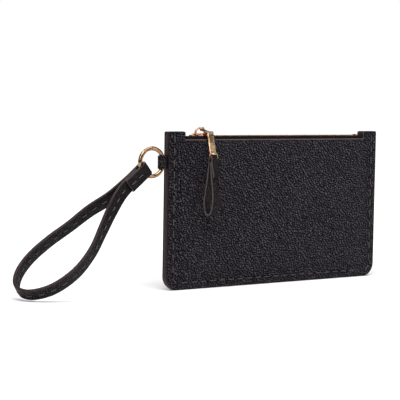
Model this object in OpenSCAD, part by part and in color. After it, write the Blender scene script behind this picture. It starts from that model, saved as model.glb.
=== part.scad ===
// Wristlet wallet: a flat zip-top leather pouch that stands on its bottom edge,
// with a round side ring and a two-ply wrist strap.
// Frame: origin at the centre of the bottom edge, +X along the width towards the
// end away from the strap, -Y the front face, +Z up. Millimetres.

/* [Pouch] */
// Width of the pouch
pouch_w = 210; // [206:1:214]
// Height of the pouch at its ears
pouch_h = 120; // [119:0.5:122]
// Radius of the two bottom corners
corner_r = 11; // [9:0.5:14]
// Thickness of each leather panel
leather_t = 1.4; // [1.3:0.05:1.5]
// Thickness of each lining sheet
lining_t = 0.45; // [0.35:0.05:0.5]
// Thickness of the welt between the two linings
welt_t = 2.8; // [2.7:0.1:3.2]
// Width of the flat sewn border
border_w = 9; // [8:0.5:10]
// How far each face swells beyond its sewn border
crown = 1.8; // [1.8:0.05:2.2]

/* [Stitching] */
// Distance of the stitch line from the edge
stitch_inset = 5.5; // [5:0.25:6.5]
// Distance from one stitch to the next
stitch_pitch = 8.9; // [8:0.1:10]
// Length of one stitch
stitch_len = 5.4; // [4.5:0.1:6]
// Thickness of the thread
thread_d = 0.8; // [0.6:0.1:1]

/* [Zip] */
// Length of the notch that the zip lies in
notch_w = 180; // [178:1:182]
// Depth of the notch below the ears
notch_d = 5.8; // [5.4:0.1:6.2]
// Distance between teeth on one side of the zip
tooth_pitch = 2.2; // [2:0.1:2.4]
// Thickness of the zip tape
tape_t = 0.5; // [0.4:0.05:0.5]
// Length of the slider
slider_len = 11; // [10:0.5:12]

/* [Pull] */
// Width of the metal pull
pull_w = 6; // [5:0.25:6.5]
// Thickness of the metal pull
pull_t = 2; // [1.6:0.1:2.2]
// Width of the leather pull loop
loop_w = 5.5; // [5:0.1:5.8]
// Thickness of the leather pull loop
loop_t = 1.6; // [1.4:0.1:1.7]

/* [Ring and wrist strap] */
// Outer diameter of the ring
ring_od = 24; // [23.5:0.25:24.5]
// Diameter of the ring's wire
wire_d = 3.2; // [3:0.1:3.2]
// Height of the leather tab that holds the ring
tab_h = 10; // [9:0.5:10]
// Width of the wrist strap
strap_w = 10.4; // [9.8:0.1:10.6]
// Thickness of each of the strap's two plies
ply_t = 1.2; // [1:0.05:1.2]
// Length of the strap's sewn-down end
flap_len = 17; // [15:1:19]

/* [Hidden] */
$fn = 64;
slack = 0.02;             // glue line between two faces that follow one curve
tiny = 0.1;               // how far a cut runs past the face it opens

// Pouch
half_edge = leather_t + lining_t + welt_t / 2;
notch_z = pouch_h - notch_d;
half_notch = notch_w / 2;
top_r = 1;
swell_x = pouch_w / 2 - border_w - 10;   // half length of the full crown
swell_z = 34;                            // where the crown reaches its full height
ear_block = 16;                          // height of the welt's block in each ear
hem_z = notch_z - 10.4;                  // top of the lining, where the zip tape takes over
mouth_in = half_edge + crown - leather_t;

// Zip
tape_z = notch_z + 2.15;                 // middle of the level part of the tape
lip_z = notch_z + 0.4;                   // foot of each free lip, and its hinge line
teeth_h = 1.7;
tooth_len = 1.1;
tooth_in = 0.35;                         // teeth stop here so that the slider's post can pass
tooth_out = 2.3;
lip_left = -65.8;                        // the free lips lie between these two stations
lip_right = 67.6;
lip_gap = 0.3;
chain_left = -79.5;                      // the chain's first and last stations
chain_right = 82;
stop_gap = 0.8;                          // from the chain to its stops
stop_len = 2.2;
stop_h = 2;
slider_x = -74;
slider_half = mouth_in + 0.15;
plate_t = 0.9;
plate_z = tape_z + 1.05;                 // underside of the slider's top plate
floor_z = notch_z + 0.25;                // underside of the slider's bottom plate
floor_t = 0.85;
bail_z = notch_z + 7.4;                  // axis of the bail's bar
bail_r = 0.75;
bail_half = 4.2;

// Pull
eye_x = slider_x + 2;
eye_len = 2.6;
eye_r = 1.6;
eye_bore = bail_r + 0.07;
pull_x = slider_x + 5.5;
pull_lean = 14;
knee = [-5.3, bail_z - 2.4];             // y and z of the pull's bend
knee_r = 1.15;
plate_len = 17;
bar_drop = 20;                         // from the bend to the crossbar
bar_r = 0.7;
prong_w = 1.15;
bar = [knee[0] - bar_drop * sin(pull_lean), knee[1] - bar_drop * cos(pull_lean)];

// Ring and its tab
wire_r = wire_d / 2;
ring_r = ring_od / 2 - wire_r;
ring_x = -pouch_w / 2 - 13;
ring_z = pouch_h - 23;
tab_axis = ring_x + ring_r;              // the ring swings about this upright line
tab_bore = wire_r + 0.15;
tab_nose = 3.6;

// Wrist strap: it leaves the ring along a ray that points down and away from the pouch
leave = 219;
ray = [cos(leave), 0, sin(leave)];
across = [sin(leave), 0, -cos(leave)];   // width direction of the strap at the ring
hang = [-0.6, -0.42, 0.68];              // width direction of the strap along its loop
side = 3;                                // offset of the outer legs either side of the ring's plane
fold = 1.5;                              // how far the fold sits inside the wire's own circle
join_out = 3.4;                          // how far outside the wire's circle the loop's end is sewn in

// Route of the loop from the ring, along the rear leg, round the far end and back
LOOP = [
    [-136, 3, 82.5], [-150, 5.5, 71.5], [-165, 11, 61.5], [-180, 15, 50], [-195, 18.5, 39.5],
    [-210, 20, 27.5], [-221, 17, 16], [-226, 8.5, 7.5], [-222, -3, 5], [-210, -13.5, 9.5],
    [-195, -19.5, 20.5], [-181, -18.5, 34.5], [-169, -13, 49], [-156.5, -6.5, 63.5], [-143.5, -0.5, 76]
];
// Route of the pull's leather loop from the crossbar, down the rear leg and up the front one
PULL_LOOP = [
    [0, -7.9, 94], [-0.6, -7.2, 84], [-1.8, -6.7, 74], [-3, -6.8, 65], [-3.2, -10, 57.5],
    [-3, -15, 58.5], [-2.8, -17.2, 66], [-1.8, -16, 75], [-0.8, -12.8, 85]
];

// Vectors and curves

function unit(v) = v / norm(v);
function ease(t) = let (u = max(0, min(1, t))) u * u * (3 - 2 * u);
function flatten(groups) = [for (group = groups) each group];

// Points of a smooth curve through the stations, with a given number of steps between two
function curve_point(a, b, c, d, t) =
    0.5 * (2 * b + (c - a) * t + (2 * a - 5 * b + 4 * c - d) * t * t + (3 * b - a - 3 * c + d) * t * t * t);
function curve(p, steps) = let (n = len(p), q = concat([2 * p[0] - p[1]], p, [2 * p[n - 1] - p[n - 2]]))
    concat([for (i = [1 : n - 1], j = [0 : steps - 1])
        curve_point(q[i - 1], q[i], q[i + 1], q[i + 2], j / steps)], [p[n - 1]]);

function tangent(p, i) = unit(p[min(i + 1, len(p) - 1)] - p[max(i - 1, 0)]);
function square_to(v, t) = unit(v - (v * t) * t);

// Strip swept along points p, with one width direction per point; a and b are its two faces,
// measured from the route along the strip's normal. Both faces are cut along the same diagonals,
// so that two twisted plies lie flat on each other
function strip_corners(p, wide, i, width, a, b) =
    let (t = tangent(p, i), w = square_to(wide[i], t), n = cross(t, w), h = width / 2)
    [p[i] - h * w + a * n, p[i] + h * w + a * n, p[i] + h * w + b * n, p[i] - h * w + b * n];

module strip(p, wide, width, a, b) {
    last = len(p) - 1;
    points = flatten([for (i = [0 : last]) strip_corners(p, wide, i, width, a, b)]);
    sides = flatten([for (i = [0 : last - 1], k = [0 : 3])
        let (m = (k + 1) % 4, lo = 4 * i, hi = 4 * i + 4)
        k == 2 ? [[lo + k, hi + k, lo + m], [hi + k, hi + m, lo + m]]
            : [[lo + k, hi + k, hi + m], [lo + k, hi + m, lo + m]]]);
    ends = [[0, 1, 2, 3], [4 * last + 3, 4 * last + 2, 4 * last + 1, 4 * last]];
    polyhedron(points = points, faces = concat(sides, ends), convexity = 10);
}

// Places children on the strip at point i: X along the strip, Z along its normal
module on_strip(p, wide, i) {
    t = tangent(p, i);
    w = square_to(wide[i], t);
    n = cross(t, w);
    multmatrix([
        [t[0], w[0], n[0], p[i][0]],
        [t[1], w[1], n[1], p[i][1]],
        [t[2], w[2], n[2], p[i][2]],
        [0, 0, 0, 1]
    ])
        children();
}

// Wrist strap route

function on_ray(out, y) = [ring_x, 0, ring_z] + out * ray + [0, y, 0];
function lift(p) = [p[0] + ring_x + 118, p[1], p[2] * ring_z / 97];
strap_stitch = 4;
flap_start = ring_r + flap_len;
fold_out = ring_r - fold;
flap_points = [for (out = [flap_start : -2.4 : fold_out + 1]) on_ray(out, -side)];
fold_points = [for (a = [-90 : 15 : 90]) on_ray(fold_out - side * cos(a), side * sin(a))];
loop_stations = concat([on_ray(ring_r + 1, side)], [for (p = LOOP) lift(p)], [on_ray(ring_r + join_out, 0)]);
loop_points = curve(loop_stations, 6);
strap_points = concat(flap_points, fold_points, loop_points);
loop_from = len(flap_points) + len(fold_points);
loop_count = len(loop_points);
function twist(i) = let (away = min(i, loop_count - 1 - i)) ease((away - 6) / 20);
function strap_wide_at(i) = i < loop_from ? across
    : let (k = twist(i - loop_from)) (1 - k) * across + k * hang;
strap_wide = [for (i = [0 : len(strap_points) - 1]) strap_wide_at(i)];

// Pull loop route

loop_mid = bar_r + 0.1 + loop_t / 2;
function at_bar(y, z) = [pull_x, bar[0] + y, bar[1] + z];
flap_lean = 0.25;                        // the sewn end leans out with the leg behind it
pull_flap = [for (z = [-14 : 2 : -2]) at_bar(-loop_mid - flap_lean * max(0, -z - 3), z)];
pull_fold = [for (a = [-90 : 15 : 90]) at_bar(loop_mid * sin(a), loop_mid * cos(a))];
pull_legs = curve(concat([at_bar(loop_mid, -1.5)], [for (p = PULL_LOOP) p + [pull_x, 0, notch_z - 114.2]],
    [at_bar(0, -3.2)]), 5);
pull_points = concat(pull_flap, pull_fold, pull_legs);
pull_wide = [for (p = pull_points) [1, 0, 0]];

// Pouch outline, drawn in X and Z

module outline() {
    body_w = pouch_w - 2 * corner_r;
    translate([-body_w / 2, 0])
        square([body_w, pouch_h - top_r]);
    translate([-pouch_w / 2, corner_r])
        square([pouch_w, pouch_h - corner_r - top_r]);
    translate([-pouch_w / 2 + top_r, corner_r])
        square([pouch_w - 2 * top_r, pouch_h - corner_r]);
    for (end = [-1, 1]) {
        translate([end * (pouch_w / 2 - corner_r), corner_r])
            circle(corner_r);
        translate([end * (pouch_w / 2 - top_r), pouch_h - top_r])
            circle(top_r);
    }
}

module notched_outline() {
    difference() {
        outline();
        translate([-half_notch, notch_z])
            square([notch_w, notch_d + tiny]);
    }
}

// Stands a drawing up: its thickness runs from y = near towards +Y
module stand(near, thick) {
    translate([0, near + thick, 0])
        rotate([90, 0, 0])
            linear_extrude(thick)
                children();
}

// Swelling of a face, from the plane y = base out to the crown; over makes it run past the notch
module swell(base, over) {
    foot = 0.2;
    hull() {
        translate([-pouch_w / 2 + border_w, base, border_w])
            cube([pouch_w - 2 * border_w, foot, notch_z + over - border_w]);
        translate([-swell_x, base - crown, swell_z])
            cube([2 * swell_x, foot, notch_z + over - swell_z]);
    }
}

// One leather or lining sheet of the front face: outer border plane at -depth
module sheet(depth, thick) {
    difference() {
        union() {
            stand(-depth, thick)
                children();
            swell(-depth, 0);
        }
        swell(-depth + thick, tiny);
    }
}

module lined_outline() {
    difference() {
        outline();
        translate([-swell_x - tiny, hem_z])
            square([2 * swell_x + 2 * tiny, pouch_h]);
        translate([-half_notch, notch_z])
            square([notch_w, notch_d + tiny]);
    }
}

module panel() {
    sheet(half_edge, leather_t)
        notched_outline();
}

module lining() {
    difference() {
        sheet(half_edge - leather_t, lining_t)
            lined_outline();
        translate([-swell_x - tiny, -half_edge - crown, hem_z])
            cube([2 * swell_x + 2 * tiny, half_edge + crown, pouch_h]);
    }
}

module front_panel() {
    color([0.11, 0.11, 0.13])
        panel();
}

module rear_panel() {
    color([0.11, 0.11, 0.13])
        mirror([0, 1, 0])
            panel();
}

module front_lining() {
    color([0.32, 0.24, 0.2])
        lining();
}

module rear_lining() {
    color([0.32, 0.24, 0.2])
        mirror([0, 1, 0])
            lining();
}

// Filler strip round both sides and the bottom, with a block in each ear
module edge_welt() {
    slot_len = border_w - 1;
    color([0.27, 0.17, 0.15])
        difference() {
            stand(-welt_t / 2, welt_t)
                difference() {
                    outline();
                    translate([-pouch_w / 2 + border_w, border_w])
                        square([pouch_w - 2 * border_w, pouch_h - border_w - ear_block]);
                    translate([-half_notch, pouch_h - ear_block - tiny])
                        square([notch_w, ear_block + 2 * tiny]);
                }
            translate([-pouch_w / 2 - tiny, -welt_t, ring_z - tab_h / 2])
                cube([slot_len + tiny, 2 * welt_t, tab_h]);
        }
}

// Two stepped card slots on the rear lining
module card_pocket() {
    pocket_w = 110;
    slot_drop = 14;
    layer_t = 0.4;
    y_lining = mouth_in - lining_t;
    color([0.36, 0.27, 0.22])
        for (layer = [0 : 1])
            translate([-pocket_w / 2, y_lining - layer_t * (layer + 1), swell_z + 1])
                cube([pocket_w, layer_t, 58 - layer * slot_drop]);
}

// One stitch, along X, lying on the -Y side of the plane y = 0
module stitch(length) {
    translate([-length / 2, -thread_d / 2, -thread_d / 2])
        cube([length, thread_d / 2, thread_d]);
}

// Running stitches down both sides, round both corners and along the bottom of one face
module stitches() {
    x_side = pouch_w / 2 - stitch_inset;
    x_first = -pouch_w / 2 + corner_r + 6;
    z_first = corner_r + 5;
    bend = corner_r - stitch_inset;
    translate([0, -half_edge, 0]) {
        for (end = [-1, 1]) {
            for (z = [z_first : stitch_pitch : pouch_h - 6])
                translate([end * x_side, 0, z])
                    rotate([0, 90, 0])
                        stitch(stitch_len);
            translate([end * (pouch_w / 2 - corner_r), 0, corner_r])
                rotate([0, end * -45, 0])
                    translate([0, 0, -bend])
                        stitch(stitch_len);
        }
        for (x = [x_first : stitch_pitch : -x_first + 2])
            translate([x, 0, stitch_inset])
                stitch(stitch_len);
    }
}

module front_stitching() {
    color([0.05, 0.05, 0.06])
        stitches();
}

module rear_stitching() {
    color([0.05, 0.05, 0.06])
        mirror([0, 1, 0])
            stitches();
}

// Zip

// Level part of one tape, between two stations
module tape_top(from, to) {
    translate([from, -mouth_in, tape_z - tape_t / 2])
        cube([to - from, mouth_in - tooth_out, tape_t]);
}

// Upright part of one tape
module tape_wall(from, to, foot) {
    translate([from, -mouth_in, foot])
        cube([to - from, tape_t, tape_z + tape_t / 2 - foot]);
}

// Sewn part of one tape, with its two fixed ends
module tape() {
    translate([-swell_x, -mouth_in, hem_z])
        cube([2 * swell_x, tape_t, notch_z - hem_z]);
    tape_wall(-swell_x, lip_left - lip_gap, notch_z - 1);
    tape_wall(lip_right + lip_gap, swell_x, notch_z - 1);
    tape_top(-half_notch, lip_left - lip_gap);
    tape_top(lip_right + lip_gap, half_notch);
}

module lip() {
    tape_top(lip_left, lip_right);
    tape_wall(lip_left, lip_right, lip_z);
}

module teeth(from, to) {
    for (x = [from : tooth_pitch : to - tooth_len])
        translate([x, -tooth_out, tape_z - teeth_h / 2])
            cube([tooth_len, tooth_out - tooth_in, teeth_h]);
}

module zip_tape_front() {
    color([0.09, 0.09, 0.1])
        tape();
}

module zip_tape_rear() {
    color([0.09, 0.09, 0.1])
        mirror([0, 1, 0])
            tape();
}

module zip_lip_front() {
    color([0.09, 0.09, 0.1])
        lip();
}

module zip_lip_rear() {
    color([0.09, 0.09, 0.1])
        mirror([0, 1, 0])
            lip();
}

module zip_teeth_front() {
    color([0.36, 0.28, 0.2])
        teeth(lip_left + 0.2, lip_right);
}

module zip_teeth_rear() {
    color([0.36, 0.28, 0.2])
        mirror([0, 1, 0])
            teeth(lip_left + 0.2 + tooth_pitch / 2, lip_right);
}

// Teeth on the two fixed ends of the chain, where the slider parks
module zip_end_teeth() {
    color([0.36, 0.28, 0.2])
        for (turn = [0, 1])
            mirror([0, turn, 0]) {
                teeth(chain_left + turn * tooth_pitch / 2, lip_left - lip_gap);
                teeth(lip_right + lip_gap + turn * tooth_pitch / 2, chain_right);
            }
}

// A metal clip on each tape beyond the last tooth at the closed end
module zip_top_stops() {
    color([0.36, 0.28, 0.2])
        for (turn = [0, 1])
            mirror([0, turn, 0])
                translate([chain_left - stop_gap - stop_len, -tooth_out, tape_z - stop_h / 2])
                    cube([stop_len, tooth_out - tooth_in, stop_h]);
}

// One clip across both tapes at the open end
module zip_bottom_stop() {
    color([0.36, 0.28, 0.2])
        translate([chain_right + stop_gap, -tooth_out, tape_z - stop_h / 2])
            cube([stop_len, 2 * tooth_out, stop_h]);
}

module slider_body() {
    post_t = 0.5;
    post_len = 3;
    flange_t = 0.6;
    corner = 2;
    color([0.8, 0.6, 0.42])
        translate([slider_x, 0, 0]) {
            translate([0, 0, plate_z])
                linear_extrude(plate_t)
                    rounded_slab(slider_len, 2 * slider_half, corner);
            translate([0, 0, floor_z])
                linear_extrude(floor_t)
                    rounded_slab(slider_len, 2 * tooth_out, corner);
            translate([-slider_len / 2 + post_t, -post_t / 2, floor_z])
                cube([post_len, post_t, plate_z - floor_z + plate_t / 2]);
            for (turn = [-1, 1])
                translate([-slider_len / 2 + corner, turn * (slider_half - flange_t / 2) - flange_t / 2,
                    plate_z - flange_t])
                    cube([slider_len - 2 * corner, flange_t, flange_t + plate_t / 2]);
        }
}

module rounded_slab(length, width, r) {
    square([length - 2 * r, width], center = true);
    square([length, width - 2 * r], center = true);
    for (x = [-1, 1], y = [-1, 1])
        translate([x * (length / 2 - r), y * (width / 2 - r)])
            circle(r);
}

// Round wire bail: two legs on the top plate and a bar along X between them
module slider_bail() {
    foot_z = plate_z + plate_t;
    color([0.8, 0.6, 0.42])
        translate([slider_x, 0, 0]) {
            for (end = [-1, 1])
                translate([end * bail_half, 0, 0]) {
                    translate([0, 0, foot_z])
                        cylinder(r = bail_r, h = bail_z - foot_z);
                    translate([0, 0, bail_z])
                        sphere(bail_r);
                }
            translate([-bail_half, 0, bail_z])
                rotate([0, 90, 0])
                    cylinder(r = bail_r, h = 2 * bail_half);
        }
}

// Cast metal pull: an eye round the bail's bar, a neck over the slider's edge, a flat plate
// and a stirrup whose crossbar holds the leather loop
module pull_tab() {
    eye_left = eye_x - eye_len / 2;
    color([0.86, 0.7, 0.46])
        difference() {
            union() {
                along_x(eye_left, 0, bail_z)
                    cylinder(r = eye_r, h = eye_len);
                pull_neck(eye_left + 0.1, eye_len - 0.2);
                along_x(eye_left + 0.2, knee[0], knee[1])
                    cylinder(r = knee_r, h = pull_x + pull_w / 2 + 0.1 - eye_left - 0.2);
                translate([pull_x, knee[0], knee[1]])
                    rotate([-pull_lean, 0, 0])
                        pull_plate();
            }
            along_x(eye_left - 1, 0, bail_z)
                cylinder(r = eye_bore, h = eye_len + 2);
        }
}

module along_x(x, y, z) {
    translate([x, y, z])
        rotate([0, 90, 0])
            children();
}

module pull_neck(left, width) {
    neck_t = 1.5;
    run = norm([knee[0], knee[1] - bail_z]);
    fall = atan2(bail_z - knee[1], -knee[0]);
    translate([left, 0, bail_z])
        rotate([fall, 0, 0])
            translate([0, -run, -neck_t / 2])
                cube([width, run, neck_t]);
}

// Plate and stirrup, hanging from the bend along -Z
module pull_plate() {
    stirrup_w = loop_w + 0.8 + 2 * prong_w;
    prong_foot = bar_drop + bar_r + 0.15;
    translate([-pull_w / 2, -pull_t / 2, -plate_len])
        cube([pull_w, pull_t, plate_len]);
    translate([-stirrup_w / 2, -pull_t / 2, -plate_len])
        cube([stirrup_w, pull_t, prong_w]);
    for (end = [-1, 1])
        translate([end * (stirrup_w - prong_w) / 2 - prong_w / 2, -pull_t / 2, -prong_foot])
            cube([prong_w, pull_t, prong_foot - plate_len + prong_w]);
    along_x(-stirrup_w / 2 + 0.2, 0, -bar_drop)
        cylinder(r = bar_r, h = stirrup_w - 0.4);
}

module pull_loop() {
    color([0.13, 0.11, 0.11])
        strip(pull_points, pull_wide, loop_w, -loop_t / 2, loop_t / 2);
}

// Two stitches through the sewn-down end of the pull loop
module pull_loop_stitch() {
    loop_stitch = 2.4;
    color([0.05, 0.05, 0.06])
        for (i = [2, 4])
            on_strip(pull_points, pull_wide, i)
                translate([0, 0, -loop_t / 2 - slack])
                    rotate([90, 0, 0])
                        stitch(loop_stitch);
}

// Ring and tab

// Room for the ring's curved wire to swing about the tab's axis
module swing_room() {
    half = tab_h / 2 + 1;
    wall = [for (z = [-half : 0.5 : half])
        let (reach = sqrt(ring_r * ring_r - z * z)) [tab_bore * ring_r / reach + ring_r - reach, z]];
    translate([tab_axis, 0, ring_z])
        rotate_extrude()
            polygon(concat([[0, -half]], wall, [[0, half]]));
}

module ring_tab() {
    root = border_w - 1.05;
    nose_shift = 0.8;
    color([0.12, 0.12, 0.14])
        difference() {
            union() {
                translate([0, 0, ring_z - tab_h / 2])
                    linear_extrude(tab_h) {
                        translate([tab_axis - nose_shift, 0])
                            circle(tab_nose);
                        translate([tab_axis - nose_shift, -tab_nose])
                            square([-pouch_w / 2 - tab_axis + nose_shift, 2 * tab_nose]);
                    }
                translate([-pouch_w / 2 - tiny, -welt_t / 2 + slack, ring_z - tab_h / 2 + slack])
                    cube([root + tiny, welt_t - 2 * slack, tab_h - 2 * slack]);
            }
            intersection() {
                swing_room();
                translate([ring_x, -ring_r, 0])
                    cube([-pouch_w / 2 - 4 * tiny - ring_x, 2 * ring_r, pouch_h]);
            }
        }
}

module ring() {
    color([0.86, 0.7, 0.46])
        translate([ring_x, 0, ring_z])
            rotate([90, 0, 0])
                rotate_extrude()
                    translate([ring_r, 0])
                        circle(wire_r);
}

// Wrist strap

module strap_outer_ply() {
    color([0.11, 0.11, 0.13])
        strip(strap_points, strap_wide, strap_w, slack / 2, ply_t);
}

module strap_inner_ply() {
    color([0.15, 0.12, 0.12])
        strip(strap_points, strap_wide, strap_w, -ply_t, -slack / 2);
}

// Running stitches along the middle of the strap's outer face
module strap_stitching() {
    first = loop_from + 12;
    last = len(strap_points) - 14;
    above = 0.2;
    color([0.05, 0.05, 0.06])
        for (i = [first : 3 : last])
            on_strip(strap_points, strap_wide, i)
                translate([0, 0, ply_t + above])
                    rotate([-90, 0, 0])
                        stitch(strap_stitch);
}

// Two stitches through the strap's sewn-down end
module strap_end_stitching() {
    color([0.05, 0.05, 0.06])
        for (i = [1, 4])
            on_strip(strap_points, strap_wide, i)
                translate([0, 0, ply_t + slack])
                    rotate([-90, 0, 0])
                        stitch(strap_stitch);
}

front_panel();
rear_panel();
edge_welt();
front_lining();
rear_lining();
card_pocket();
front_stitching();
rear_stitching();
zip_tape_front();
zip_tape_rear();
zip_end_teeth();
zip_top_stops();
zip_bottom_stop();
zip_lip_front();
zip_teeth_front();
zip_lip_rear();
zip_teeth_rear();
slider_body();
slider_bail();
pull_tab();
pull_loop();
pull_loop_stitch();
ring_tab();
ring();
strap_outer_ply();
strap_inner_ply();
strap_stitching();
strap_end_stitching();
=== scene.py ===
# Looks of the wristlet wallet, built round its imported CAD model.
# Lengths are millimetres in the CAD frame: origin at the centre of the bottom edge, +X away from
# the strap, -Y the front face, +Z up. Meshes are scaled to metres when they are made.
import math

import bpy
from mathutils import Matrix, Vector, noise


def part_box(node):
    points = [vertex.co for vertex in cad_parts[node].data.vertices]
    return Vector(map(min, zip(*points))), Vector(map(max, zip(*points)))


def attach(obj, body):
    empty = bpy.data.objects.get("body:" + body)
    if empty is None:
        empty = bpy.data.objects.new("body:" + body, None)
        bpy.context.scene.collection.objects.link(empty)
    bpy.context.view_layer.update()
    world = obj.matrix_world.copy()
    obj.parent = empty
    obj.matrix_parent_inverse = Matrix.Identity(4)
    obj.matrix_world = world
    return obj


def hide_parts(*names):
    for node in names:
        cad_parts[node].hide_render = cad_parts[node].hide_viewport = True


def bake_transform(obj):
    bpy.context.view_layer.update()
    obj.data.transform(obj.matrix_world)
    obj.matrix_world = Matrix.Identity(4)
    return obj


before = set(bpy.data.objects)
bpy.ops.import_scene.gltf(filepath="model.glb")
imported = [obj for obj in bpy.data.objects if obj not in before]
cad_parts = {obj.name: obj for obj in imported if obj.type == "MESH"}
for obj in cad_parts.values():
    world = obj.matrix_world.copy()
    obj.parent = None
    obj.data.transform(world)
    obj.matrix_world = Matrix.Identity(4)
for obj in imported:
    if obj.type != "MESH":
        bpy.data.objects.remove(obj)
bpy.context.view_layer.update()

MM = 0.001


def span(node):
    low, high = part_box(node)
    return low / MM, high / MM


# Pouch
PANEL_LOW, PANEL_HIGH = span("front_panel")
HALF_W = PANEL_HIGH.x
POUCH_H = PANEL_HIGH.z
CORNER_R = 11.0
LEATHER = 1.4
LINING = 0.45
WELT_HALF = span("edge_welt")[1].y
HALF_EDGE = WELT_HALF + LINING + LEATHER
CROWN = -PANEL_LOW.y - HALF_EDGE
BORDER = 9.0
SWELL_SIDE = 14.0
SWELL_FOOT = 26.0
HALF_NOTCH = 90.0
NOTCH_Z = POUCH_H - 5.8
HEM_Z = NOTCH_Z - 10.4
RIM = 0.85
GRID_STEP = 1.0

# Stitches
STITCH_INSET = 5.5
STITCH_PITCH = 8.9
STITCH_LEN = 5.4
THREAD_R = 0.42

# Zip
LIP_LEFT = span("zip_lip_front")[0].x
LIP_RIGHT = span("zip_lip_front")[1].x
LIP_Z = span("zip_lip_front")[0].z
TAPE_TOP = span("zip_lip_front")[1].z
TAPE_T = 0.5
SLIDER_X = (span("slider_body")[0].x + span("slider_body")[1].x) / 2

# Ring
RING_LOW, RING_HIGH = span("ring")
WIRE_R = RING_HIGH.y
RING_X = (RING_LOW.x + RING_HIGH.x) / 2
RING_Z = (RING_LOW.z + RING_HIGH.z) / 2
RING_R = (RING_HIGH.x - RING_LOW.x) / 2 - WIRE_R


# ---------------------------------------------------------------- geometry helpers

def ease(t):
    t = max(0.0, min(1.0, t))
    return t * t * (3 - 2 * t)


class Shape:
    """Points, faces and one material number per face, gathered before a mesh is made."""

    def __init__(self):
        self.points = []
        self.faces = []
        self.marks = []

    def add(self, points, faces, mark=0):
        base = len(self.points)
        self.points += [Vector(p) for p in points]
        self.faces += [[base + i for i in f] for f in faces]
        self.marks += mark if isinstance(mark, list) else [mark] * len(faces)

    def mirrored(self):
        """The same shape on the other side of the plane Y = 0."""
        self.points = [Vector((p.x, -p.y, p.z)) for p in self.points]
        self.faces = [f[::-1] for f in self.faces]


def loft(shape, rings, mark=0, caps=True, side_mark=None):
    """Skin over rings of equal length. side_mark(ring, corner) may give each face its own number."""
    n = len(rings[0])
    points = [p for ring in rings for p in ring]
    faces = []
    marks = []
    for i in range(len(rings) - 1):
        for k in range(n):
            m = (k + 1) % n
            faces.append([i * n + k, i * n + m, (i + 1) * n + m, (i + 1) * n + k])
            marks.append(side_mark(i, k) if side_mark else mark)
    if caps:
        faces.append(list(range(n))[::-1])
        faces.append([(len(rings) - 1) * n + k for k in range(n)])
        marks += [mark, mark]
    shape.add(points, faces, marks)


def new_object(name, data):
    obj = bpy.data.objects.new(name, data)
    bpy.context.scene.collection.objects.link(obj)
    return obj


def piece(name, shape, materials, body, nodes=(), sharp=None):
    mesh = bpy.data.meshes.new(name)
    mesh.from_pydata([p * MM for p in shape.points], [], shape.faces)
    for m in materials:
        mesh.materials.append(m)
    mesh.polygons.foreach_set("material_index", shape.marks)
    mesh.polygons.foreach_set("use_smooth", [True] * len(shape.faces))
    mesh.update()
    if sharp is not None:
        mesh.set_sharp_from_angle(angle=math.radians(sharp))
    obj = new_object(name, mesh)
    if body:
        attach(obj, body)
    if nodes:
        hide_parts(*nodes)
    return obj


def signed_power(value, power):
    return math.copysign(abs(value) ** power, value)


def oval(half_a, half_b, sides, power=1.0):
    """Points of an ellipse, which a power under 1 draws out towards its bounding rectangle."""
    turns = [2 * math.pi * k / sides for k in range(sides)]
    return [(signed_power(math.cos(q), power) * half_a, signed_power(math.sin(q), power) * half_b)
            for q in turns]


def sunk_end(u, depth, flat):
    """How far a stitch dips at u, from -1 to 1 along it, where its middle stays level up to flat."""
    return depth * (max(0.0, abs(u) - flat) / (1 - flat)) ** 1.3


def tangents_along(path):
    last = len(path) - 1
    return [(path[min(i + 1, last)] - path[max(i - 1, 0)]).normalized() for i in range(last + 1)]


def frames_along(path):
    """A tangent and two square directions at each point of a path, turning as little as they can."""
    tangents = tangents_along(path)
    seed = Vector((0, 0, 1)) if abs(tangents[0].z) < 0.9 else Vector((1, 0, 0))
    side = (seed - tangents[0] * seed.dot(tangents[0])).normalized()
    out = []
    for t in tangents:
        side = (side - t * side.dot(t)).normalized()
        out.append((t, side, t.cross(side)))
    return out


def tube(shape, path, section):
    """Sweeps a section along a path. section is a list of (a, b), or a function of the point's number."""
    path = [Vector(p) for p in path]
    rings = []
    for i, (p, (_, a, b)) in enumerate(zip(path, frames_along(path))):
        corners = section(i) if callable(section) else section
        rings.append([p + a * u + b * v for u, v in corners])
    loft(shape, rings)


def thread(shape, path, radius):
    """A two-strand twisted thread along a path."""
    turn = 1.1
    lobe = 0.14
    sides = 10

    def section(i):
        fade = 1.0 if 0 < i < len(path) - 1 else 0.6
        out = []
        for k in range(sides):
            q = 2 * math.pi * k / sides
            r = fade * radius * (1 + lobe * math.cos(2 * (q - i * turn)))
            out.append((r * math.cos(q), r * math.sin(q)))
        return out
    tube(shape, path, section)


def rounded_box(low, high, r, steps=3):
    """Rings, stacked in Z, of a box whose edges are all rounded."""
    low, high = Vector(low), Vector(high)
    centre = (low + high) / 2
    half = (high - low) / 2
    bends = [math.pi / 2 * j / steps for j in range(steps, -1, -1)]
    ups = [(low.z + r * (1 - math.sin(q)), r * (1 - math.cos(q))) for q in bends]
    downs = [(high.z - (z - low.z), inset) for z, inset in ups[::-1]]
    rings = []
    for z, inset in ups + downs:
        ring = []
        hx, hy = half.x - inset, half.y - inset
        rr = max(r - inset, 0.02)
        for cx, cy, a0 in ((1, 1, 0), (-1, 1, 90), (-1, -1, 180), (1, -1, 270)):
            for j in range(steps + 1):
                q = math.radians(a0 + 90 * j / steps)
                ring.append(Vector((centre.x + cx * (hx - rr) + rr * math.cos(q),
                                    centre.y + cy * (hy - rr) + rr * math.sin(q), z)))
        rings.append(ring)
    return rings


def add_box(shape, low, high, r, steps=3, change=None):
    rings = rounded_box(low, high, r, steps)
    if change:
        rings = [[change(p) for p in ring] for ring in rings]
    loft(shape, rings)


# ---------------------------------------------------------------- material helpers

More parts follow.
